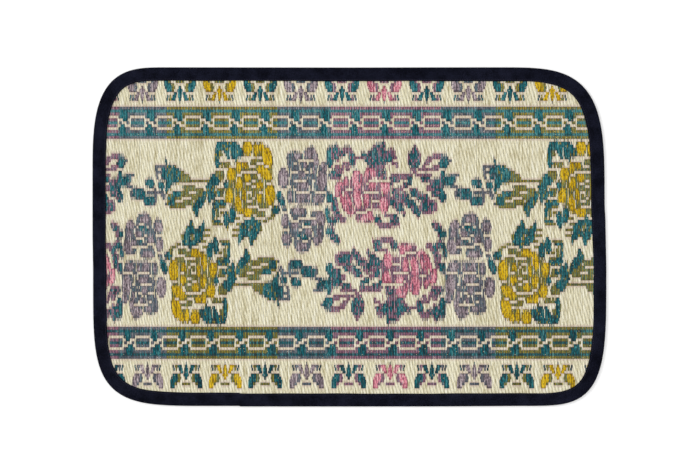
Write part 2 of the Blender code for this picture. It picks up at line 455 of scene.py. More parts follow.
leaves(
    (-224, 11.2, 11, 6.2, -1.4), (-229.6, 8.8, 8, 2.8), (-228.8, 7.0, 3.6, 2.8), (-204.5, 19.0, 14, 2.8),
    (-208, 17.4, 13, 2.4), (-212, 16.0, 10, 1.9), (-210.8, 14.4, 9.5, 2.8), (-209, 12.8, 8, 1.9),
    (-212.8, 11.4, 2.6, 2.4), (-192, 16.6, 4.4, 2.8), (-200.5, 14.0, 8, 1.9),
)
mixed(
    (-199.5, 20.6, 13, 1.9), (-197.5, 19.2, 6, 2.4), (-198, 15.0, 9, 1.2), (-196.8, 13.6, 4, 2.2),
    (-200, 11, 13, 1),
)
parted((-199.8, 16.6, 4, 3.9, -3.4), (-199.7, 12, 9.5, 1))

leaves(
    (-204.5, 9.8, 8.4, 2.8), (-196.5, 10.2, 8.5, 1.9), (-204, 4.2, 9, 1.9), (-207.0, 7.0, 4.0, 3.4),
    (-191.8, 4.8, 6.5, 4.8), (-184, 6.4, 7.6, 5.2), (-188, 4.2, 9, 2.2), (-190.5, 2.2, 2.4, 1.9),
)
mixed(
    (-196.5, 9, 7, 1), (-202.4, 6.6, 4.4, 3.2), (-197.5, 7, 4.5, 1.9), (-201.5, 3, 12, 1),
    (-177.5, 5, 5, 1),
)
parted((-197, 8, 6, 1), (-198.5, 5, 8, 1), (-188.3, 7.2, 1.8, 3.2), (-205.2, 6.4, 1.2, 2.9))

leaves(
    (-169.3, 1.2, 10, 4.6), (-163.5, 3.4, 12, 2.2), (-159.2, 4.8, 2.6, 1.9), (-154.4, 2.0, 12, 4.6),
    (-159, -1.0, 10, 3.2), (-160.6, -3.2, 3, 2.4), (-173, -1.0, 7.5, 2.6), (-175.4, -2.8, 2.8, 1.9),
    (-163.6, 0.2, 6, 2.6),
)
mixed(
    (-162.4, 2.0, 3.2, 2.6), (-179.6, 1, 10, 1), (-180.5, -1, 8, 1), (-176.5, 3, 6, 1),
    (-149.4, 1.4, 3, 1.9), (-142.2, 4.3, 8, 1.9, -4.0), (-134, 6.0, 6, 1.9, -2.5),
)
leaves((-131, 8.0, 9.5, 2.6), (-125.2, 11.8, 7.6, 5.2, 0.9))
parted((-160.2, 2, 1.2, 1), (-164.4, 1, 1.2, 1))

# %% The toothed leaf and the striped leaf
leaves(
    (-268.2, 20.6, 12, 4.8), (-257, 19.9, 18, 5.4), (-264.8, 16.9, 6, 3.6), (-267.4, 24.0, 1.2, 3.4, 0.5),
    (-262.8, 22.8, 2.6, 2.4), (-257.6, 22.3, 2.4, 2.0), (-252.4, 21.5, 2.6, 1.9), (-267.4, 14.4, 1.6, 1.9),
    (-274.2, 16.4, 6.8, 3.0),
)
mixed(
    (-247, 19.8, 6, 3.0), (-242.2, 19.4, 7, 2.4), (-238.5, 19, 4, 1), (-232, 18, 38, 1),
    (-277.3, 23, 11, 1), (-278, 21, 7, 1), (-280.5, 22, 3, 1), (-279.6, 19.4, 4, 1.9, 0.5),
    (-276, 14, 10, 1), (-270.5, 12.6, 7, 1.9, 2.0), (-263.6, 21.6, 1.2, 1.9), (-260.0, 19.4, 1.2, 1.9),
)
mixed(
    (-238, 15.5, 19, 2), (-224.5, 15, 9, 1), (-248.3, 14, 20, 1), (-226, 14, 7, 1), (-242, 13, 40, 1),
    (-253, 12, 10, 1), (-231, 12, 8, 1), (-240, 11, 13, 1), (-256, 10, 26, 1), (-238, 10, 9, 1),
    (-253, 9, 20, 1),
)
leaves((-254, 13.5, 11, 2.0), (-261, 11.4, 9, 3.6))

# %% Leaves between the mauve roses and the pink one
leaves(
    (-62.2, 27.4, 15, 4.6), (-59.2, 29.8, 2.6, 1.9), (-66.5, 24.8, 6, 4.6, 0.2), (-50.5, 27.6, 8, 3.0),
    (-40.2, 25.6, 6.6, 5.2, 0.3), (-59, 20.6, 11, 3.0),
)
mixed(
    (-45.6, 28.8, 12, 2.2), (-47.6, 23.6, 10, 1.9), (-45, 22, 5, 1), (-31.5, 26, 12, 1), (-66, 20, 5, 2.2),
    (-53.6, 21.8, 9, 1.9), (-60, 19, 11, 1), (-58, 23, 4, 1), (-57, 25, 3, 1),
)
parted((-47.5, 25.5, 9, 2), (-46.4, 26.6, 4, 1.4))

leaves(
    (-66.8, 12.2, 6, 3.2), (-61.5, 11.2, 6, 2.6, 0.6), (-59.3, 8.4, 5.6, 3.8, 0.5),
    (-57.2, 5.6, 6.4, 3.0, 0.6), (-69.3, 6.8, 4.0, 3.8, 0.5), (-64, 4.4, 10, 2.8), (-64, 2.8, 2.6, 1.4),
    (-66.3, 0.4, 9, 2.6), (-61.2, -1.6, 9, 2.8, 0.6), (-57, -2.8, 5.4, 1.9),
)
mixed((-64, 8.6, 4, 2.4), (-51, 4.6, 10, 2.2), (-53.5, 6, 4, 1), (-68.5, 14, 3, 1))

# %% Leaves beyond the pink rose
leaves(
    (-11, 25.8, 28, 5.0), (-9, 28.2, 16, 4.0), (3.4, 26.6, 14, 3.8), (-2.6, 30.4, 3.2, 2.6),
    (-8.6, 30, 4, 1.9), (-15.5, 24.0, 13, 2.4), (-26, 26.8, 6, 1.9),
)
mixed(
    (7, 28.2, 9, 1.9), (-7.2, 28.0, 3.4, 1.9), (-6.5, 23, 10, 1), (12.4, 26, 3, 1), (10.5, 24, 7, 1),
    (13, 23, 2.6, 1), (4, 22.4, 1.8, 1.9), (-12.0, 26.0, 1.2, 1.9), (-2.6, 25.4, 1.2, 1.9),
    (-17, 27, 1.2, 1.9),
)
leaves((-4.6, 20.6, 8, 2.8))
leaves(
    (11, 18.9, 12.5, 2.6), (6.4, 17, 3, 1), (27.8, 18.6, 4.8, 3.8), (22.4, 16.8, 5.8, 2.4),
    (10.8, 13.9, 7.4, 3.0), (12.2, 10.6, 14, 3.6, 0.6), (16.4, 8.3, 8.6, 2.4, 0.8), (21.2, 6.6, 2.2, 1.9),
    (22.8, 12.4, 7.4, 3.4, 0.6), (28.4, 10.2, 13, 3.0, 1.6), (34.6, 8.0, 10, 3.0, 1.6),
    (38.8, 6.4, 2.8, 1.9), (33.2, 14.0, 8.4, 2.6), (42.4, 12.3, 15, 2.8, 1.2), (50, 8.9, 17, 4.0),
    (-9, 4.4, 7.4, 3.0), (9.6, 4.3, 9.8, 4.4),
)
mixed(
    (12, 20, 13, 1), (25, 20, 12, 1), (21.5, 19, 6, 1), (17.5, 15.4, 7, 1.9), (17, 13.0, 5, 1.9),
    (29.4, 15, 4, 1), (37.8, 13.6, 3, 1.9), (58.4, 9.2, 4.4, 3.6), (52.6, 11, 9, 1), (48.5, 7, 11, 1),
    (41, 9.2, 3, 1.9), (-0.5, 2.5, 18, 2.0), (3.4, 6, 11, 1), (15.2, 3.0, 3.4, 1.9), (32, 8.6, 1.2, 1.9),
    (45.6, 12.0, 1.2, 1.9), (12, 18.6, 1.2, 1.9), (13.6, 10.4, 1.2, 1.9),
)
parted((-0.5, 4.5, 11, 2), (18.6, 17, 1.8, 2.9), (23.6, 18, 4, 1))

# %% Leaves and buds at the right of the repeat
leaves(
    (33.5, 25.6, 14.4, 6.2), (34, 29.0, 2.8, 2.2), (67.6, 24.6, 13, 4.2), (46.6, 19.0, 11, 2.8),
    (59.5, 16.3, 15, 5.0), (66.8, 19.6, 4.0, 4.2), (74, 18.0, 14, 4.0, -1.4), (61, 13.8, 14, 3.0),
    (66.6, 12.4, 7.4, 3.2), (91, 13.7, 20, 3.6), (107, 17.2, 11, 3.0, 0.8), (106.6, 11.2, 15, 3.2),
)
mixed(
    (32, 22, 6, 1), (34, 21, 5, 1), (44.5, 20, 19, 1), (50, 22, 25, 1), (58.5, 23.2, 9, 1.9),
    (44.6, 23, 4, 1), (47.6, 24, 7, 1), (52, 25, 11, 1), (57, 26, 16, 1), (60.6, 27, 13, 1),
    (69, 26.4, 7, 1.4), (76, 25, 3, 1), (50.5, 15.6, 6, 2.2), (83, 20, 6, 1), (80.6, 16, 8, 1),
    (82.4, 13.8, 3.4, 2.4), (109.5, 14, 13, 1), (114.6, 13.0, 3.4, 5.4, 0.3), (88, 13.4, 1.2, 1.9),
    (95, 14.2, 1.2, 1.9),
)
parted((59, 25, 8, 1), (50, 23, 7, 1), (57, 24, 8, 1), (60.5, 25, 5, 1), (67.4, 22, 4, 1))

# %% Specks in the leaves
# Share of specks in the pink, the mauve and the ochre stripe
LEAF_SPECKS = np.array((0.34, 0.16, 0.07))
specked = pattern_chance.random(chart.shape) < LEAF_SPECKS[stripe_dye(RUSH)]
chart[(chart == TEAL) & specked] = SHADE
print("dyed share of the field", round(float((chart != NATURAL).mean()), 3))

# %% [markdown]
# ## The chain borders
#
# Along both long sides runs a chain of twisted links between two lines. One link is 36 rushes long and 11
# warps high, so it is small enough to write out as a weaver's note: each line is one warp, and "4t 2s"
# means four rushes teal, then two mixed. In a stretch marked "p" the teal is paler, and more so towards
# the mat's back edge, where painted glare lightens it. The lower chain is the upper one turned over, seven
# rushes on.

# %% The chain
CHAIN_WARPS = (
    "36s",
    "24p 10t 2p",
    "24s 10t 2s",
    "1s 20n 3s 10t 2s",
    "2n 18s 7n 7t 2n",
    "2n 18p 2n 4s 6n 4s",
    "2n 18s 4n 6t 6n",
    "1s 20n 10t 5s",
    "23s 8t 5s",
    "23p 10t 3p",
    "36s",
)
PALER = 4
LETTERS = {"n": NATURAL, "t": TEAL, "s": SHADE, "p": PALER}
CHAIN_TOP = 43.0
CHAIN_START = -28
LOWER_SHIFT = 7


def read_warp(note, main_dye=None):
    """Marks of one warp from its written note. The letter m stands for the main dye."""
    marks = []
    for word in note.split():
        mark = LETTERS.get(word[-1], main_dye)
        marks += [mark] * int(word[:-1])
    return marks


chain = np.array([read_warp(note) for note in CHAIN_WARPS])
chain_length = chain.shape[1]
is_paler = np.zeros(chart.shape)


def draw_chain(top_warp, first_rush, pattern):
    """Lays one chain along the whole mat, its highest warp at this count."""
    column = (RUSH - first_rush) % chain_length
    for row, warp in enumerate(top_warp - np.arange(len(pattern))):
        marks = pattern[row][column]
        line = np.argmax(WARP == warp)
        chart[line] = np.where(marks == PALER, TEAL, marks)
        is_paler[line] = marks == PALER


draw_chain(CHAIN_TOP, CHAIN_START, chain)
draw_chain(-CHAIN_TOP + len(chain) - 1, CHAIN_START + LOWER_SHIFT, chain[::-1])
print("links along each chain", round(len(RUSH) / chain_length, 1))

# %% [markdown]
# ## The palmettes outside the chains
#
# Small upright sprigs stand between each chain and the tape. One is a spear with two arms and a leaf on
# each side, and it is even about its middle, so the note gives only its right half, from the middle
# outwards. Every second one is teal, and the ones between take the dye of their stripe: "m" is whichever
# dye the sprig has.

# %% The palmettes
PALMETTE_WARPS = (
    "1t",
    "2m 4n 5m 4s 1n 2t",
    "3m 2n 5m 2n 2s 1n 2t",
    "3m 1n 4m",
    "4m 4n 3s 7m",
    "2m 5n 4s 9m",
    "8n 4s 9m",
    "6s 6n 3s 6m",
    "15n 6m",
)
PALMETTE_SPACING = 49.5
PALMETTE_START = -2
PALMETTE_TIP = 45.0
PALMETTES = range(-7, 6)


def draw_palmette(middle, tip_warp, away, dye):
    """One palmette. Its tip points at the chain, and its other warps follow away from it."""
    for row, note in enumerate(PALMETTE_WARPS):
        line = int(np.argmax(WARP == tip_warp + away * row))
        for side in (1, -1):
            for step, mark in enumerate(read_warp(note, dye)):
                place = round(middle) + side * step - RUSH[0]
                if mark != NATURAL and 0 <= place < len(RUSH):
                    chart[line, place] = mark


for number in PALMETTES:
    dye = FLOWER if number % 2 == 0 else TEAL
    middle = PALMETTE_START + number * PALMETTE_SPACING
    draw_palmette(middle, PALMETTE_TIP, 1, dye)
    draw_palmette(middle + LOWER_SHIFT, -PALMETTE_TIP, -1, dye)
print("palmettes along each side", len(PALMETTES))

# %% [markdown]
# ## The rushes
#
# Each run of one dye along a rush is a strip three points wide: two low edges and a raised crown. It rides
# over the warps, dips where a warp ties it down, and dives out of sight where its run ends and another
# dye comes up. The ties step one rush to the right with every warp down, four rushes apart. A tied rush
# pulls its neighbours down with it, so the face is a wave of slanting ridges and grooves. A real tube for
# each rush would have three times as many faces, and its lower half would never be seen.

# %% Thickness of the panel at each place
PANEL_TOP = 0.0028
RIM_BOTTOM = 0.0013
RIM_TOP = 0.0033
PANEL_SLOPE = 0.022
SLOPE_START = 0.001
HIDDEN_UNDER_TAPE = 0.007

# A rush is measured at every half warp. Odd rows lie on a warp, and even rows midway between two.
half_warps = np.concatenate(([WARP[0] + 0.5], np.repeat(WARP, 2) - np.tile((0.0, 0.5), len(WARP))))
half_y = warp_place(half_warps)
node_x, node_y = np.meshgrid(rush_x, half_y)
node_inset, node_face = inset_of(node_x, node_y)


def rise_at(inset, face):
    """How far the panel has climbed to the tape: 0 in the field, 1 where it goes in."""
    return np.clip(1 - (inset - face - SLOPE_START) / PANEL_SLOPE, 0.0, 1.0)


node_rise = rise_at(node_inset, node_face)
face_height = PANEL_TOP + (RIM_TOP - PANEL_TOP) * node_rise
back_height = RIM_BOTTOM * node_rise
in_mat = node_inset[1::2] > node_face[1::2] - HIDDEN_UNDER_TAPE
print("places in the weave", int(in_mat.sum()))

# %% Where the warps tie the rushes
TIE_STEP = 4
TIE_START = 1
warps_down = (CHAIN_TOP - WARP).astype(int)
tied = (RUSH[None, :] + TIE_START - warps_down[:, None]) % TIE_STEP == 0
print("ties", int((tied & in_mat).sum()))

# %% Depth of a strip at each half warp
TIE_DEPTH = 0.00090
GROOVE_POWER = 1.3
DIVE_DEPTH = 0.00070
EDGE_DROP = 0.00060
BACK_DROP = 0.00040
BACK_DEPTH_SHARE = 0.6

tie_phase = (RUSH[None, :] + TIE_START - (CHAIN_TOP - half_warps)[:, None]) / TIE_STEP
groove = ((1 + np.cos(math.tau * tie_phase)) / 2) ** GROOVE_POWER
print("the grooves take", round(float((groove > 0.5).mean()), 2), "of the face")

# %% [markdown]
# ## Unevenness
#
# No two rushes are alike. Each has its own width, lies a little higher or lower, wanders slightly and has
# its own tone. The chances are drawn once, from a fixed seed, so the mat is the same every time.

# %% Uneven rushes
WEAVE_SEED = 7
SLACK_WIDTH = 0.05
SLACK_HEIGHT = 0.00007
WANDER = 0.00010
TONE_OF_RUSH = 0.6
TONE_OF_RUN = 0.35

chance = np.random.default_rng(WEAVE_SEED)
width_share = 1.0 - SLACK_WIDTH * chance.random(len(RUSH))
height_slack = SLACK_HEIGHT * chance.random(node_x.shape[1])
rush_tone = TONE_OF_RUSH * chance.standard_normal(len(RUSH))
wander = np.cumsum(chance.standard_normal(node_x.shape), axis=0)
wander -= np.linspace(0, 1, len(half_y))[:, None] * wander[-1]
wander *= WANDER / wander.std()
print("rushes wander", round(1000 * float(np.abs(wander).max()), 2), "mm at most")

# %% [markdown]
# ## Dye that ran
#
# The rushes were woven damp. Where teal and the other dye lie by turns, each took up some of its
# neighbour's, so the mixed shade is softer than two clean colours side by side would be. A natural rush
# was stained a little too, close to where a dyed one comes up beyond its end.

# %% Share of a neighbour's dye
RAN_ON_BACK = 0.25
RAN_AT_END = 0.55
RAN_HALF_WARPS = 2
RAN_TO_FRONT = 0.15


def at_half_warps(marked):
    """Spreads marks of the chart over the half warps, with the mean of two between them."""
    spread = np.zeros(node_x.shape)
    spread[1::2] = marked
    spread[2:-1:2] = (marked[1:] + marked[:-1]) / 2
    return spread


is_mixed = (chart == SHADE).astype(float)
mixed_share = at_half_warps(is_mixed)
paler_share = at_half_warps(is_paler)
print("mixed places", int(is_mixed.sum()))

# %% Runs along a rush
FACE_STEP = 1
BACK_STEP = 4
POINTS_ACROSS = 3


def runs_of(wanted):
    """Every unbroken run in each column, as (column, first row, last row + 1)."""
    padded = np.pad(wanted.astype(np.int8), ((1, 1), (0, 0)))
    change = np.diff(padded, axis=0)
    columns, starts = np.nonzero(change.T == 1)
    _, stops = np.nonzero(change.T == -1)
    return zip(columns, starts, stops)


# %% How the rushes of each dye differ
# The widths are shares of a rush's own. Odd and even rushes lie in pairs, and a dyed odd one is narrower.
# Shades are painted shade and the glare at the back is painted glare; they and the tones are steps
# towards the dark or the light colour, and what ran is a share of colour.
Build = namedtuple(
    "Build",
    "paired_width tied_width tie_shade end_shade tone_along ran_alone ran_between faded_at_back is_dyed",
)
NATURAL_BUILD = Build(0.98, 0.68, 0.9, 0.4, 0.6, 0.0, 0.0, 0.0, False)
TEAL_BUILD = Build(0.94, 0.86, 0.3, 1.6, 0.8, 0.01, 0.24, 0.4, True)
FLOWER_BUILD = Build(0.94, 0.86, 0.3, 1.6, 0.8, 0.02, 0.60, 0.0, True)
BUILDS = {NATURAL: NATURAL_BUILD, TEAL: TEAL_BUILD, FLOWER: FLOWER_BUILD}
print("a tied natural rush is drawn in to", NATURAL_BUILD.tied_width, "of its width")

# %% Tone and stain along a strip
PAINTED_SHADE_BY_NATURAL = 0.6
PAINTED_PAIR_SHADE = 0.7
FRONT_TO_BACK_REACH = 0.22
PALER_TONE = 1.6
SHORT_FLOAT_TONE = 0.2
LONG_FLOAT_SHADE = 0.1


def towards_back(y):
    """From -1 near the mat's front edge to 1 near its back edge."""
    return np.clip(y / FRONT_TO_BACK_REACH, -1.0, 1.0)


def tones_of(rows, column, build, is_face):
    """How light or dark one strip is at each of its half warps, 0 being the middle."""
    tone = rush_tone[column] + TONE_OF_RUN * chance.standard_normal()
    tone = tone + build.tone_along * chance.standard_normal(len(rows))
    if is_face:
        # Painted shade in the grooves, where the ties pull the rushes down
        tone -= build.tie_shade * groove[rows, column]
        # Painted shade at both ends, where the strip dives out of sight
        tone[[0, -1]] -= build.end_shade
    if build.is_dyed:
        warps_long = (rows[-1] - rows[0]) / 2
        tone += SHORT_FLOAT_TONE / warps_long - LONG_FLOAT_SHADE
        # Painted shade on a dyed rush beside a natural one
        # Painted shade on odd dyed rushes, the narrower of each pair
        tone -= PAINTED_PAIR_SHADE * (RUSH[column] % 2) + PAINTED_SHADE_BY_NATURAL * outline[rows, column]
        # Painted glare, which makes teal lighter towards the back edge and darker towards the front
        tone += build.faded_at_back * towards_back(half_y[rows])
        # Paler stretches of the chain, with painted glare that makes them paler towards the back edge
        tone += PALER_TONE * (1 + towards_back(half_y[rows])) / 2 * paler_share[rows, column]
    return tone


def ran_of(rows, column, build, is_face):
    """How much of a neighbour's wet dye one strip took up, at each of its half warps."""
    if not is_face:
        return np.full(len(rows), RAN_ON_BACK)
    if build.is_dyed:
        share = mixed_share[rows, column] * (1 - RAN_TO_FRONT * towards_back(half_y[rows]))
        return build.ran_alone + (build.ran_between - build.ran_alone) * share
    from_end = np.minimum(np.arange(len(rows)), np.arange(len(rows))[::-1])
    return np.interp(from_end, (0, RAN_HALF_WARPS), (RAN_AT_END, 0.0))


# %% Build the strips of one dye
END_WIDTH = 0.80
FLATTENED = 0.5
FULLNESS = 0.98
Strips = namedtuple("Strips", "points faces tone ran")


def strip_points(rows, column, build, is_face):
    """The points of one strip: at each of its half warps a left edge, the crown and a right edge."""
    depth = TIE_DEPTH * groove[rows, column]
    depth[[0, -1]] = DIVE_DEPTH
    narrow = 1 - (1 - build.tied_width) * groove[rows, column]
    narrow[[0, -1]] = END_WIDTH
    fullness = build.paired_width if RUSH[column] % 2 else FULLNESS
    half = rush_width[column] / 2 * narrow * width_share[column] * fullness
    middle = rush_x[column] + wander[rows, column]
    if is_face:
        crown = face_height[rows, column] - height_slack[column] - depth
        edge_height = crown - EDGE_DROP * (1 - FLATTENED * depth / TIE_DEPTH)
    else:
        crown = back_height[rows, column] + BACK_DEPTH_SHARE * depth
        edge_height = crown + BACK_DROP
    strip = np.empty((len(rows), POINTS_ACROSS, 3))
    strip[:, :, 0] = middle[:, None] + half[:, None] * (-1, 0, 1)
    strip[:, :, 1] = half_y[rows][:, None]
    strip[:, :, 2] = np.stack((edge_height, crown, edge_height), axis=1)
    if is_face:
        strip[0, :, 1] -= creep[rows[0] // 2, column]
        strip[-1, :, 1] -= creep[rows[-1] // 2, column]
    return strip.reshape(-1, 3)


def add_strips(wanted, strips, build, is_face):
    """Adds the strips of the wanted places, on the mat's face or its back."""
    step = FACE_STEP if is_face else BACK_STEP
    count = sum(len(block) for block in strips.points)
    for column, start, stop in runs_of(wanted):
        rows = np.unique(np.append(np.arange(2 * start, 2 * stop, step), 2 * stop))
        near = count + np.arange(len(rows) - 1)[:, None] * POINTS_ACROSS + np.arange(POINTS_ACROSS - 1)
        far = near + POINTS_ACROSS
        quads = np.stack((near, far, far + 1, near + 1), axis=2).reshape(-1, 4)
        strips.points.append(strip_points(rows, column, build, is_face))
        strips.faces.append(quads if is_face else quads[:, ::-1])
        strips.tone.append(np.repeat(tones_of(rows, column, build, is_face), POINTS_ACROSS))
        strips.ran.append(np.repeat(ran_of(rows, column, build, is_face), POINTS_ACROSS))
        count += len(rows) * POINTS_ACROSS


# %% Make a piece from its points and faces
def in_scene(name, data):
    """Puts a mesh, a lamp or a camera in the scene, as an object of this name."""
    made = bpy.data.objects.new(name, data)
    bpy.context.scene.collection.objects.link(made)
    return made


def planar_map(mesh):
    """A map of the mat seen from above, which spreads the finish of a thousand strips evenly."""
    layer = mesh.uv_layers.new(name="OFBake")
    corner_points = np.empty(len(mesh.loops), dtype=np.int32)
    mesh.loops.foreach_get("vertex_index", corner_points)
    places = np.empty(len(mesh.vertices) * 3)
    mesh.vertices.foreach_get("co", places)
    places = places.reshape(-1, 3)[corner_points]
    low, high = places.min(axis=0), places.max(axis=0)
    share = (places - low) / (high - low)
    layer.data.foreach_set("uv", share[:, :2].astype(np.float32).ravel())


def piece_from(name, points, faces, material, **kept):
    """Makes an object of these points and four-cornered faces, and keeps named numbers at its points."""
    mesh = bpy.data.meshes.new(name)
    mesh.from_pydata(points.tolist(), [], faces.tolist())
    for kind, values in kept.items():
        layer = mesh.attributes.new(kind, "FLOAT", "POINT")
        layer.data.foreach_set("value", values.astype(np.float32))
    planar_map(mesh)
    mesh.shade_smooth()
    mesh.materials.append(material)
    print(name, len(points), "points", 2 * len(faces), "triangles")
    return in_scene(name, mesh)


# %% [markdown]
# ## Finish of the rushes
#
# A dried rush is smooth and slightly waxy, with fine lines along it and small blotches where it dried
# unevenly. Dye takes unevenly too. The finish moves between a dark, a middle and a light colour by three
# things: the tone that each run was given, which also carries painted shade and painted glare, blotches
# stretched along the rush, and a slow drift over the whole mat. A painted texture could do the same, but
# it would blur where the camera comes close.

# %% Screen colours as light
SCREEN_WHITE = 255
DARK_END = 0.04045
DARK_SLOPE = 12.92
CURVE_OFFSET = 0.055
CURVE_POWER = 2.4


def linear(red, green, blue):
    """A colour given in screen values from 0 to 255, as the linear light a shader needs."""
    values = []
    for value in (red, green, blue):
        share = value / SCREEN_WHITE
        if share <= DARK_END:
            values.append(share / DARK_SLOPE)
        else:
            values.append(((share + CURVE_OFFSET) / (1 + CURVE_OFFSET)) ** CURVE_POWER)
    return (*values, 1.0)


print("middle grey as light", [round(value, 3) for value in linear(128, 128, 128)[:3]])

# %% Material helpers
HALFWAY = 0.5
COLOUR_A = 6
COLOUR_B = 7
COLOUR_RESULT = 2
MOTTLE_FROM = 0.3
MOTTLE_TO = 0.7


class Finish:
    """A node material that is put together step by step."""

    def __init__(self, name, roughness):
        self.material = bpy.data.materials.new(name)
        self.material.use_nodes = True
        self.tree = self.material.node_tree
        self.shader = self.tree.nodes["Principled BSDF"]
        self.shader.inputs["Roughness"].default_value = roughness

    def node(self, kind, **settings):
        """A new node of this kind, with these settings."""
        made = self.tree.nodes.new("ShaderNode" + kind)
        for name, value in settings.items():
            setattr(made, name, value)
        return made

    def link(self, source, target):
        """A wire from an output to an input."""
        self.tree.links.new(source, target)

    def noise(self, per_metre, detail=3.0):
        """Noise with so many blots a metre along X, Y and Z. Unequal numbers draw it out, as fibres are."""
        place = self.node("TexCoord")
        mapping = self.node("Mapping")
        mapping.inputs["Scale"].default_value = per_metre
        texture = self.node("TexNoise")
        texture.inputs["Scale"].default_value = 1.0
        texture.inputs["Detail"].default_value = detail
        self.link(place.outputs["Object"], mapping.inputs["Vector"])
        self.link(mapping.outputs["Vector"], texture.inputs["Vector"])
        return texture.outputs["Fac"]

    def sum(self, first, second, share):
        """The first number, and this share of the second on top."""
        adder = self.node("Math", operation="MULTIPLY_ADD")
        adder.inputs[1].default_value = share
        self.link(second, adder.inputs[0])
        self.link(first, adder.inputs[2])
        return adder.outputs["Value"]

    def ramp(self, factor, stops):
        """Colours over a factor, from (place, colour) stops."""
        band = self.node("ValToRGB")
        elements = band.color_ramp.elements
        while len(elements) < len(stops):
            elements.new(HALFWAY)
        for element, (place, colour) in zip(elements, stops):
            element.position = place
            element.color = colour
        self.link(factor, band.inputs["Fac"])
        return band.outputs["Color"]

    def blend(self, first, second_colour, share):
        """The first colour with this share of a second, even one."""
        mixer = self.node("Mix", data_type="RGBA")
        self.link(share, mixer.inputs["Factor"])
        self.link(first, mixer.inputs[COLOUR_A])
        mixer.inputs[COLOUR_B].default_value = second_colour
        return mixer.outputs[COLOUR_RESULT]

    def paint(self, colour):
        """Gives the surface this colour."""
        self.link(colour, self.shader.inputs["Base Color"])

    def bump(self, height, distance):
        """Relief in the light alone, so many metres deep."""
        bump = self.node("Bump")
        bump.inputs["Distance"].default_value = distance
        bump.inputs["Strength"].default_value = 1.0
        self.link(height, bump.inputs["Height"])
        self.link(bump.outputs["Normal"], self.shader.inputs["Normal"])


def mottled(name, roughness, per_metre, dark, light):
    """A finish that changes softly between two near colours, and the noise that changes it."""
    finish = Finish(name, roughness)
    mottle = finish.noise(per_metre)
    finish.paint(finish.ramp(mottle, ((MOTTLE_FROM, dark), (MOTTLE_TO, light))))
    return finish, mottle


# %% The dyes as colours
Dye = namedtuple("Dye", "dark middle light gloss")
UNDYED = Dye(linear(188, 176, 132), linear(244, 238, 208), linear(253, 250, 232), 0.25)
TEAL_DYE = Dye(linear(0, 48, 60), linear(5, 106, 116), linear(84, 152, 156), 0.08)
PINK_DYE = Dye(linear(146, 66, 88), linear(240, 150, 168), linear(248, 208, 208), 0.15)
MAUVE_DYE = Dye(linear(74, 64, 74), linear(168, 150, 158), linear(216, 202, 204), 0.15)
OCHRE_DYE = Dye(linear(134, 106, 0), linear(228, 186, 4), linear(236, 206, 62), 0.12)
RAN_INTO_UNDYED = linear(206, 176, 176)

# Two dyes in one rush make a darker colour than either
RanDye = namedtuple("RanDye", "into_teal into_flower")
PINK_AND_TEAL = RanDye(linear(174, 106, 132), linear(112, 84, 114))
MAUVE_AND_TEAL = RanDye(linear(134, 120, 132), linear(80, 94, 106))
OCHRE_AND_TEAL = RanDye(linear(152, 130, 28), linear(64, 92, 50))

# %% Rush finishes
UNDYED_TONE = 0.10
DYED_TONE = 0.16
RUSH_ROUGHNESS = 0.5
BLOTCHES = (400.0, 45.0, 1.0)
DRIFT = (14.0, 9.0, 1.0)
DRIFT_SHARE = 0.25
FIBRES = (3500.0, 60.0, 1.0)
FIBRE_DEPTH = 0.00006
DARK_AT = 0.28
MIDDLE_AT = 0.625
LIGHT_AT = 0.88


def rush_finish(name, dye, tone_share, ran_colour):
    """Rush in one dye, between a dark and a light colour, with some of the neighbours' dye run in."""
    finish = Finish(name, RUSH_ROUGHNESS)
    finish.shader.inputs["Specular IOR Level"].default_value = dye.gloss
    tone = finish.node("Attribute", attribute_name="tone").outputs["Fac"]
    level = finish.sum(finish.noise(BLOTCHES), tone, tone_share)
    level = finish.sum(level, finish.noise(DRIFT), DRIFT_SHARE)
    colour = finish.ramp(level, ((DARK_AT, dye.dark), (MIDDLE_AT, dye.middle), (LIGHT_AT, dye.light)))
    ran = finish.node("Attribute", attribute_name="ran").outputs["Fac"]
    finish.paint(finish.blend(colour, ran_colour, ran))
    finish.bump(finish.noise(FIBRES, detail=2.0), FIBRE_DEPTH)
    return finish.material


natural_finish = rush_finish("natural rush", UNDYED, UNDYED_TONE, RAN_INTO_UNDYED)
teal_by_pink = rush_finish("teal rush by pink", TEAL_DYE, DYED_TONE, PINK_AND_TEAL.into_teal)
teal_by_mauve = rush_finish("teal rush by mauve", TEAL_DYE, DYED_TONE, MAUVE_AND_TEAL.into_teal)
teal_by_ochre = rush_finish("teal rush by ochre", TEAL_DYE, DYED_TONE, OCHRE_AND_TEAL.into_teal)
pink_finish = rush_finish("pink rush", PINK_DYE, DYED_TONE, PINK_AND_TEAL.into_flower)
mauve_finish = rush_finish("mauve rush", MAUVE_DYE, DYED_TONE, MAUVE_AND_TEAL.into_flower)
ochre_finish = rush_finish("ochre rush", OCHRE_DYE, DYED_TONE, OCHRE_AND_TEAL.into_flower)
print("finishes so far:", [material.name for material in bpy.data.materials if "rush" in material.name])

# %% [markdown]
# ## Sorting the rushes by dye
#
# A dyed rush that isn't wanted on the face floats along the back, so the back shows the picture's dull
# opposite: where the face is natural, teal and the other dye lie behind it by turns, and where the face
# is dyed, natural rush lies behind. Every dye is one object, with its floats on both sides. The natural
# rushes are far the most, so they are made in three lengths of the mat.

# %% Marks on the face and the back
odd_rush = (RUSH % 2 == 1)[None, :]
face_mark = np.where(chart == SHADE, np.where(odd_rush, TEAL, FLOWER), chart)
back_mark = np.where(face_mark == NATURAL, np.where(odd_rush, TEAL, FLOWER), NATURAL)
stripe = stripe_dye(RUSH)[None, :]

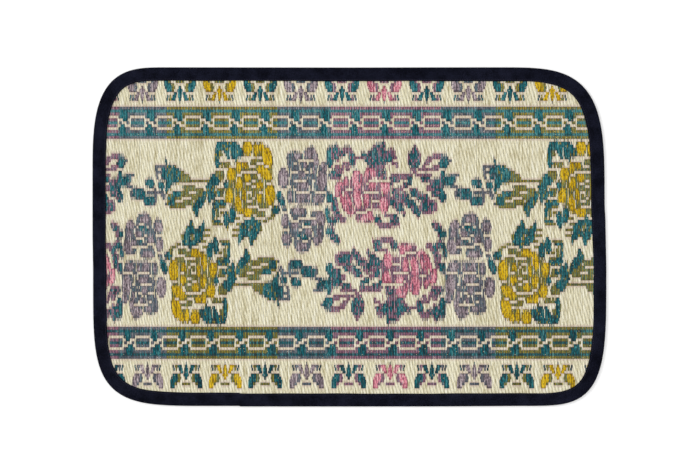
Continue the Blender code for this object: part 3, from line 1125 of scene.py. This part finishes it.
# Where its neighbour is natural, a dyed rush gets painted shade, which darkens the edges of each dyed shape.
natural_near = np.zeros(chart.shape)
natural_near[:, 1:] = np.maximum(natural_near[:, 1:], face_mark[:, :-1] == NATURAL)
natural_near[:, :-1] = np.maximum(natural_near[:, :-1], face_mark[:, 1:] == NATURAL)
outline = np.zeros(node_x.shape)
outline[1::2] = natural_near
outline[2:-1:2] = np.minimum(natural_near[1:], natural_near[:-1])
print("outlined places", int(natural_near.sum()))

# %% [markdown]
# ## Long floats creep over short ones
#
# Where two dyes meet along a rush, the longer float is slack and bulges a little over the end of the
# shorter one. So a line that is only one warp high looks thinner than its warp's share, which is why the
# chain's links and the veins of the leaves are so fine on the real mat.

# %% Creep at each meeting
CREEP_OVER_SINGLE = 0.06 * WARP_SPACING
CREEP_OVER_SHORT = 0.03 * WARP_SPACING
SHORT_FLOAT = 3


def float_lengths(marks):
    """For each place, how many warps its float is long."""
    lengths = np.zeros(marks.shape, dtype=int)
    for column in range(marks.shape[1]):
        turns = np.flatnonzero(np.diff(marks[:, column])) + 1
        bounds = np.concatenate(([0], turns, [len(marks)]))
        lengths[:, column] = np.repeat(np.diff(bounds), np.diff(bounds))
    return lengths


lengths = float_lengths(face_mark)
above, below = lengths[:-1], lengths[1:]
shorter = np.minimum(above, below)
reach = np.where(shorter == 1, CREEP_OVER_SINGLE, np.where(shorter <= SHORT_FLOAT, CREEP_OVER_SHORT, 0.0))
creep = np.zeros((len(WARP) + 1, len(RUSH)))
creep[1:-1] = reach * np.sign(above - below)
print("single floats", int(((lengths == 1) & in_mat).sum()))

# %% Pieces of each dye
PIECE_DYES = (
    ("teal_rushes_pink_stripe", TEAL, PINK, teal_by_pink),
    ("teal_rushes_mauve_stripe", TEAL, MAUVE, teal_by_mauve),
    ("teal_rushes_ochre_stripe", TEAL, OCHRE, teal_by_ochre),
    ("pink_rushes", FLOWER, PINK, pink_finish),
    ("mauve_rushes", FLOWER, MAUVE, mauve_finish),
    ("ochre_rushes", FLOWER, OCHRE, ochre_finish),
)
LEFT_JOIN = -160
RIGHT_JOIN = 45
NATURAL_LENGTHS = (
    ("left", FIRST_RUSH, LEFT_JOIN),
    ("middle", LEFT_JOIN, RIGHT_JOIN),
    ("right", RIGHT_JOIN, LAST_RUSH + 1),
)


def woven_piece(name, mark, where, material):
    """All the floats of one dye in part of the mat, as one piece."""
    strips = Strips([], [], [], [])
    build = BUILDS[mark]
    add_strips((face_mark == mark) & where, strips, build, is_face=True)
    add_strips((back_mark == mark) & where, strips, build, is_face=False)
    points, faces, tone, ran = (np.concatenate(blocks) for blocks in strips)
    return piece_from(name, points, faces, material, tone=tone, ran=ran)


rush_pieces = []
for length, first, last in NATURAL_LENGTHS:
    here = in_mat & (RUSH >= first) & (RUSH < last)
    rush_pieces.append(woven_piece("natural_rushes_" + length, NATURAL, here, natural_finish))
for name, mark, dye, material in PIECE_DYES:
    rush_pieces.append(woven_piece(name, mark, in_mat & (stripe == dye), material))

# %% [markdown]
# ## The warp threads
#
# The cotton warps run the long way and show only where one crosses over a rush to tie it. Each of those
# crossings is a short arched bar of thread, which goes down between the neighbouring rushes at both ends.
# Wet dye ran from the rushes into the cotton that crosses them, and left only a few crossings pale. The
# rest of the warp is inside the weave, so it isn't built.

# %% Finish of the cotton
COTTON_ROUGHNESS = 0.9
TWIST = (1200.0, 2400.0, 1.0)
TWIST_SHARE = 0.4
TWIST_DEPTH = 0.00008

# Bare cotton with painted shade in the hollows of its twist, bare cotton with a painted highlight on its
# ridges, and cotton soaked in dye
COTTON_COLOURS = ((0.12, linear(184, 172, 134)), (0.30, linear(220, 208, 172)), (1.0, linear(40, 54, 60)))

cotton = Finish("cotton warp", COTTON_ROUGHNESS)
twist = cotton.noise(TWIST)
stain = cotton.node("Attribute", attribute_name="tone").outputs["Fac"]
cotton.paint(cotton.ramp(cotton.sum(stain, twist, TWIST_SHARE), COTTON_COLOURS))
cotton.bump(twist, TWIST_DEPTH)
print("cotton finish has", len(cotton.tree.nodes), "nodes")

# %% Warp crossings
WARP_HALF = 0.00042
BAR_ROOT_DEPTH = 0.00120
BAR_CROWN_DEPTH = 0.00050
PALE_CROSSINGS = 0.10
STAINED = 0.85
PALE = 0.25
BAR_REACH = 0.62
BAR_POINTS = 6

# A bar's points are numbered in pairs, from its left root over its crown to its right root.
rows, columns = np.nonzero(tied & in_mat)
across = np.array((-BAR_REACH, 0.0, BAR_REACH))
along = np.array((-1.0, 1.0))
bars = np.empty((len(rows), len(across), len(along), 3))
bars[..., 0] = rush_x[columns][:, None, None] + rush_width[columns][:, None, None] * across[None, :, None]
bars[..., 1] = warp_y[rows][:, None, None] + WARP_HALF * along[None, None, :]
bar_depth = np.array((BAR_ROOT_DEPTH, BAR_CROWN_DEPTH, BAR_ROOT_DEPTH))[:, None]
bars[..., 2] = face_height[2 * rows + 1, columns][:, None, None] - bar_depth[None]
first_points = np.arange(len(rows))[:, None, None] * BAR_POINTS
two_faces = np.arange(len(across) - 1)[None, :, None] * len(along)
bar_faces = first_points + two_faces + np.array((0, 2, 3, 1))
over_dyed = face_mark[rows, columns] != NATURAL
stained = np.where(chance.random(len(rows)) < PALE_CROSSINGS, PALE, STAINED) * over_dyed
warp_piece = piece_from(
    "warp_threads",
    bars.reshape(-1, 3),
    bar_faces.reshape(-1, 4),
    cotton.material,
    tone=np.repeat(stained, BAR_POINTS),
)

# %% [markdown]
# ## The core of the panel
#
# Between the face and the back lie more rushes that nobody sees. One thin closed sheet stands for them, so
# that no light comes through the grooves. Its dark colour is painted shade, which shows in the grooves
# between the rushes. It follows the panel's climb into the tape.

# %% Core sheet
CORE_UNDER_FACE = 0.00115
CORE_OVER_BACK = 0.00060
TAPE_THICKNESS = 0.0010
CLEARANCE = 0.0003


def swept(name, section_at, stations, material, closed=True, capped=False):
    """A section swept once round the mat. section_at gives arrays of insets and heights for a station."""
    rings = []
    for station in stations:
        insets, heights = section_at(station)
        ring = station.edge[None, :] - station.outward[None, :] * np.asarray(insets)[:, None]
        rings.append(np.column_stack((ring, heights)))
    rings = np.array(rings)
    count, width = rings.shape[:2]
    ring_index = np.arange(count)[:, None] * width
    next_index = (np.arange(count)[:, None] + 1) % count * width
    low = np.arange(width if closed else width - 1)[None, :]
    high = (low + 1) % width
    faces = np.stack((ring_index + low, next_index + low, next_index + high, ring_index + high), axis=2)
    mesh = bpy.data.meshes.new(name)
    polygons = faces.reshape(-1, 4).tolist()
    if capped:
        polygons.append([index * width for index in reversed(range(count))])
        polygons.append([index * width + width - 1 for index in range(count)])
    mesh.from_pydata(rings.reshape(-1, 3).tolist(), [], polygons)
    mesh.shade_smooth()
    mesh.materials.append(material)
    print(name, len(mesh.vertices), "points", len(polygons), "faces")
    return in_scene(name, mesh)


Station = namedtuple("Station", "edge outward face lap along")


def stations_every(step):
    """Places round the edge, so far apart."""
    walked = np.concatenate(([0.0], np.cumsum(edge_steps)))
    count = int(round(EDGE_LENGTH / step))
    stations = []
    for number in range(count):
        along = EDGE_LENGTH * number / count
        values = []
        for column in (edge[:, 0], edge[:, 1], outward[:, 0], outward[:, 1], tape_face, lap_lift):
            values.append(np.interp(along, walked, np.append(column, column[0])))
        way = np.array(values[2:4])
        stations.append(
            Station(np.array(values[:2]), way / np.linalg.norm(way), values[4], values[5], along)
        )
    return stations


def core_section(station):
    """The core's rim as insets and heights, from the underside round the cut edge to the top."""
    head = station.face + SLOPE_START
    foot = head + PANEL_SLOPE
    rim = TAPE_THICKNESS + 2 * CLEARANCE
    insets = (foot, head, rim, rim, head, foot)
    low = RIM_BOTTOM + CORE_OVER_BACK
    high = RIM_TOP - CORE_UNDER_FACE
    return insets, (CORE_OVER_BACK, low, low, high, high, PANEL_TOP - CORE_UNDER_FACE)


CORE_STEP = 0.02
CORE_ROUGHNESS = 0.8

# The core's dark colour is painted shade, which the grooves show between the rushes
core_painted_shade, _ = mottled("inner rush", CORE_ROUGHNESS, BLOTCHES, linear(66, 60, 42), linear(100, 90, 62))
core_piece = swept(
    "panel_core", core_section, stations_every(CORE_STEP), core_painted_shade.material, closed=False, capped=True
)
planar_map(core_piece.data)

# %% [markdown]
# ## The edge tape
#
# The tape is a strong dark cotton twill, folded in half over the cut edge with its long sides turned
# under. It is thickest over the fold, lies flat across the rushes, is drawn down by the stitching near its
# inner edge, and puckers a little between the stitches. It is swept round the mat like a piping, which
# keeps its width exact, and the puckers are added to the section as it goes.

# %% Finish of the tape
TAPE_ROUGHNESS = 0.82
TAPE_GLOSS = 0.06
TWILL_MAPPING = (1100.0, 1100.0, 1.0)
TWILL_SCALE = 0.5
TWILL_WAVER = 0.8
TWILL_SHARE = 0.15
TWILL_DEPTH = 0.00012
SPECKS = (900.0, 900.0, 900.0)
FADED_PATCHES = (40.0, 40.0, 40.0)
FADED_SHARE = 0.5
TAPE_COLOURS = ((0.5, linear(0, 0, 5)), (0.75, linear(1, 2, 11)), (0.95, linear(26, 28, 44)))

tape = Finish("edge tape", TAPE_ROUGHNESS)
tape_place = tape.node("UVMap", uv_map="tape")
tape_scale = tape.node("Mapping")
tape_scale.inputs["Scale"].default_value = TWILL_MAPPING
tape.link(tape_place.outputs["UV"], tape_scale.inputs["Vector"])
twill = tape.node("TexWave", wave_type="BANDS", bands_direction="DIAGONAL")
twill.inputs["Scale"].default_value = TWILL_SCALE
twill.inputs["Distortion"].default_value = TWILL_WAVER
tape.link(tape_scale.outputs["Vector"], twill.inputs["Vector"])
tape_level = tape.sum(tape.noise(SPECKS), tape.noise(FADED_PATCHES), FADED_SHARE)
tape_level = tape.sum(tape_level, twill.outputs["Fac"], TWILL_SHARE)
tape.paint(tape.ramp(tape_level, TAPE_COLOURS))
tape.shader.inputs["Specular IOR Level"].default_value = TAPE_GLOSS
tape.bump(twill.outputs["Fac"], TWILL_DEPTH)
print("tape finish has", len(tape.tree.nodes), "nodes")

# %% Section of the folded tape
TAPE_TOP = RIM_TOP + CLEARANCE + TAPE_THICKNESS
TAPE_FOLD = 0.0016
HEM_ROUND = 0.0005
FOLD_STEPS = 8
STITCH_INSET = 0.0026
STITCH_PITCH = 0.0042
PUCKER = 0.00012
EDGE_WANDER = 0.00018
WANDER_TURNS = (61.0, 23.7)
THREAD_DIP = 0.00022

# The tape's upper face, from the fold to its inner edge. Inset is measured from the fold, and in the last
# two lines from the inner edge. Lift is how far the cloth stands above its flat height.
Rise = namedtuple("Rise", "inset lift")
FROM_FOLD = (Rise(0.005, 0.00010), Rise(0.010, 0.00018))
FROM_INNER_EDGE = (Rise(0.0085, 0.00014), Rise(0.0045, 0.00006))
INNER_EDGE = (Rise(0.0004, -0.00010), Rise(0.0, -0.00045))


def tape_section(station):
    """The tape's folded section, from the underside round the fold, over the top and back inside."""
    pull = math.cos(math.tau * station.along / STITCH_PITCH)
    slow = sum(math.sin(station.along * turns + turns) for turns in WANDER_TURNS)
    face = station.face + EDGE_WANDER * slow
    top = TAPE_TOP + station.lap
    angles = math.pi * (np.arange(FOLD_STEPS + 1) / FOLD_STEPS - 0.5)
    insets = list(TAPE_FOLD * (1 - np.cos(angles)))
    heights = list(top / 2 * (1 + np.sin(angles)))
    top_line = [
        *FROM_FOLD,
        *((face - inset, lift) for inset, lift in FROM_INNER_EDGE),
        (face - STITCH_INSET, -THREAD_DIP - PUCKER * pull),
        (face - STITCH_INSET / 2, PUCKER * pull),
        *((face - inset, lift) for inset, lift in INNER_EDGE),
    ]
    for inset, lift in top_line:
        insets.append(inset)
        heights.append(top + lift)
    insets += [face, TAPE_THICKNESS, TAPE_THICKNESS, face, face, face - HEM_ROUND]
    inner_top = TAPE_TOP - TAPE_THICKNESS
    heights += [inner_top, inner_top, TAPE_THICKNESS, TAPE_THICKNESS, HEM_ROUND, 0.0]
    return insets, heights


tape_stations = stations_every(STITCH_PITCH / 2)
tape_piece = swept("edge_tape", tape_section, tape_stations, tape.material)

# %% A map along the tape
def map_along(piece, stations, section_at):
    """A map in metres: along the edge, and across the tape's section. Both close without a jump."""
    width = len(section_at(stations[0])[0])
    insets, heights = (np.array(values) for values in section_at(stations[0]))
    steps = np.hypot(np.diff(insets), np.diff(heights))
    across = np.concatenate(([0.0], np.cumsum(steps)))
    layer = piece.data.uv_layers.new(name="tape")
    for polygon in piece.data.polygons:
        numbers = [piece.data.loops[loop].vertex_index for loop in polygon.loop_indices]
        wraps = max(numbers) // width - min(numbers) // width > 1
        closes = max(n % width for n in numbers) - min(n % width for n in numbers) > 1
        for loop, number in zip(polygon.loop_indices, numbers):
            station, place = divmod(number, width)
            along = stations[station].along
            if wraps and station == 0:
                along = EDGE_LENGTH
            side = across[place]
            if closes and place == 0:
                side = across[-1] + float(np.hypot(insets[0] - insets[-1], heights[0] - heights[-1]))
            layer.data[loop].uv = (along, side)


map_along(tape_piece, tape_stations, tape_section)

# %% [markdown]
# ## The stitching
#
# One line of dark thread holds both layers of the tape through the rushes. A machine stitch shows as a
# short bead of thread that goes down at each end. Six hundred small beads are one mesh, made by a loop
# from the same pitch that the puckers follow, so each bead lies in its own dip.

# %% Finish of the thread
THREAD_ROUGHNESS = 0.7
PLY = (2500.0, 2500.0, 2500.0)
PLY_DEPTH = 0.00005
thread, ply = mottled("sewing thread", THREAD_ROUGHNESS, PLY, linear(20, 20, 36), linear(52, 52, 74))
thread.bump(ply, PLY_DEPTH)
print("thread finish has", len(thread.tree.nodes), "nodes")

# %% Stitches
STEPS_PER_STITCH = 4
STEPS_ON_TOP = 3
THREAD_HALF = 0.00024
BEAD_PLACES = (0.0, 0.18, 0.5, 0.82, 1.0)
BEAD_SIDES = 6
BEAD_LIFT = 0.00006
BEAD_ARCH = 0.00048
BEAD_END = 0.00030
BEAD_TIP = 0.08


def stitch_beads():
    """Points and faces of all the beads. Each has rings of points, small at its two ends."""
    stitch_count = int(round(EDGE_LENGTH / STITCH_PITCH))
    walk = stations_every(EDGE_LENGTH / (stitch_count * STEPS_PER_STITCH))
    points = []
    faces = []
    for number in range(stitch_count):
        first_step = number * STEPS_PER_STITCH
        here = walk[first_step]
        beyond = walk[(first_step + STEPS_ON_TOP) % len(walk)]
        middle_height = TAPE_TOP + max(here.lap, beyond.lap) - THREAD_DIP + BEAD_LIFT
        start = here.edge - here.outward * (here.face - STITCH_INSET)
        stop = beyond.edge - beyond.outward * (beyond.face - STITCH_INSET)
        run = stop - start
        side = np.array((-run[1], run[0])) / np.linalg.norm(run)
        base = len(points)
        for share in BEAD_PLACES:
            swell = math.sqrt(math.sin(math.pi * min(max(share, BEAD_TIP), 1 - BEAD_TIP)))
            centre = start + run * share
            lift = middle_height + BEAD_ARCH * swell - BEAD_END
            for turn in range(BEAD_SIDES):
                angle = math.tau * turn / BEAD_SIDES
                spot = centre + side * THREAD_HALF * swell * math.cos(angle)
                points.append((spot[0], spot[1], lift + THREAD_HALF * swell * math.sin(angle)))
        for place in range(len(BEAD_PLACES) - 1):
            for turn in range(BEAD_SIDES):
                low = base + place * BEAD_SIDES
                following = (turn + 1) % BEAD_SIDES
                above = low + BEAD_SIDES
                faces.append((low + turn, low + following, above + following, above + turn))
    return np.array(points), np.array(faces)


stitch_points, stitch_faces = stitch_beads()
stitch_piece = piece_from("edge_stitching", stitch_points, stitch_faces, thread.material)

# %% [markdown]
# ## Joining the pieces to the frame
#
# Nothing on the mat moves, so every piece rides on the one body. The woven pieces stand for the plain
# panel solid, and the sewn tape for the plain binding.

# %% Ride and replace
weave_pieces = [core_piece, warp_piece, *rush_pieces]
for piece in [*weave_pieces, tape_piece, stitch_piece]:
    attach(piece, "root")
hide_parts("rush_panel")
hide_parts("edge_binding")

# %% [markdown]
# ## Floor, light and camera
#
# The photograph looks straight down at the mat on white, from far away. Light falls softly from above,
# with one stronger side so that the grooves show. The camera stands high with a long lens, and its frame
# is as wide as the photograph's: one photograph pixel is 1.752 mm on the mat.

# %% Floor
FLOOR_ROUGHNESS = 0.9
FLOOR_CLOUDS = (2.0, 2.0, 2.0)
FLOOR_GLOW = 0.10
floor_finish, _ = mottled(
    "pale floor", FLOOR_ROUGHNESS, FLOOR_CLOUDS, linear(250, 250, 250), linear(254, 254, 254)
)
# The floor glows a little, as painted light that lightens the mat's shadow on it
floor_finish.shader.inputs["Emission Color"].default_value = (1.0, 1.0, 1.0, 1.0)
floor_finish.shader.inputs["Emission Strength"].default_value = FLOOR_GLOW
FLOOR_REACH = 6.0
FLOOR_DROP = 0.0002
floor_corners = [(-1, -1), (1, -1), (1, 1), (-1, 1)]
floor_mesh = bpy.data.meshes.new("floor")
floor_mesh.from_pydata(
    [(x * FLOOR_REACH, y * FLOOR_REACH, -FLOOR_DROP) for x, y in floor_corners], [], [(0, 1, 2, 3)]
)
floor_mesh.materials.append(floor_finish.material)
floor = in_scene("floor", floor_mesh)
print("floor", 2 * FLOOR_REACH, "m square")

# %% Light
WORLD_LIGHT = 0.62
Lamp = namedtuple("Lamp", "name place size power")
LAMPS = (
    Lamp("side light", (-8.8, 4.0, 6.8), 4.8, 564.0),
    Lamp("top light", (0.8, 0.6, 8.0), 4.0, 157.0),
)

world = bpy.data.worlds.new("studio")
world.use_nodes = True
world.node_tree.nodes["Background"].inputs["Color"].default_value = (1.0, 1.0, 1.0, 1.0)
world.node_tree.nodes["Background"].inputs["Strength"].default_value = WORLD_LIGHT
bpy.context.scene.world = world
bpy.context.scene.view_settings.view_transform = "Standard"


def soft_light(lamp):
    """A square soft box that faces the mat's middle."""
    box = bpy.data.lights.new(lamp.name, "AREA")
    box.shape = "SQUARE"
    box.size = lamp.size
    box.energy = lamp.power
    light = in_scene(lamp.name, box)
    light.location = lamp.place
    light.rotation_euler = (-light.location).to_track_quat("-Z", "Y").to_euler()
    print(lamp.name, "stands", round(light.location.length, 1), "m away")


for lamp in LAMPS:
    soft_light(lamp)

# %% Camera
PIXEL = 0.001752
FRAME_PIXELS = (700, 467)
MAT_CENTRE_PIXEL = (349.45, 236.9)
CAMERA_HEIGHT = 7.0
SENSOR = 36.0
FARTHEST_SEEN = 50.0
camera_data = bpy.data.cameras.new("camera")
camera_data.sensor_width = SENSOR
camera_data.lens = SENSOR * CAMERA_HEIGHT / (FRAME_PIXELS[0] * PIXEL)
camera_data.clip_end = FARTHEST_SEEN
camera = in_scene("camera", camera_data)
camera.location = (
    (FRAME_PIXELS[0] / 2 - MAT_CENTRE_PIXEL[0]) * PIXEL,
    (MAT_CENTRE_PIXEL[1] - FRAME_PIXELS[1] / 2) * PIXEL,
    CAMERA_HEIGHT,
)
bpy.context.scene.camera = camera
print("lens", round(camera_data.lens, 1), "mm")
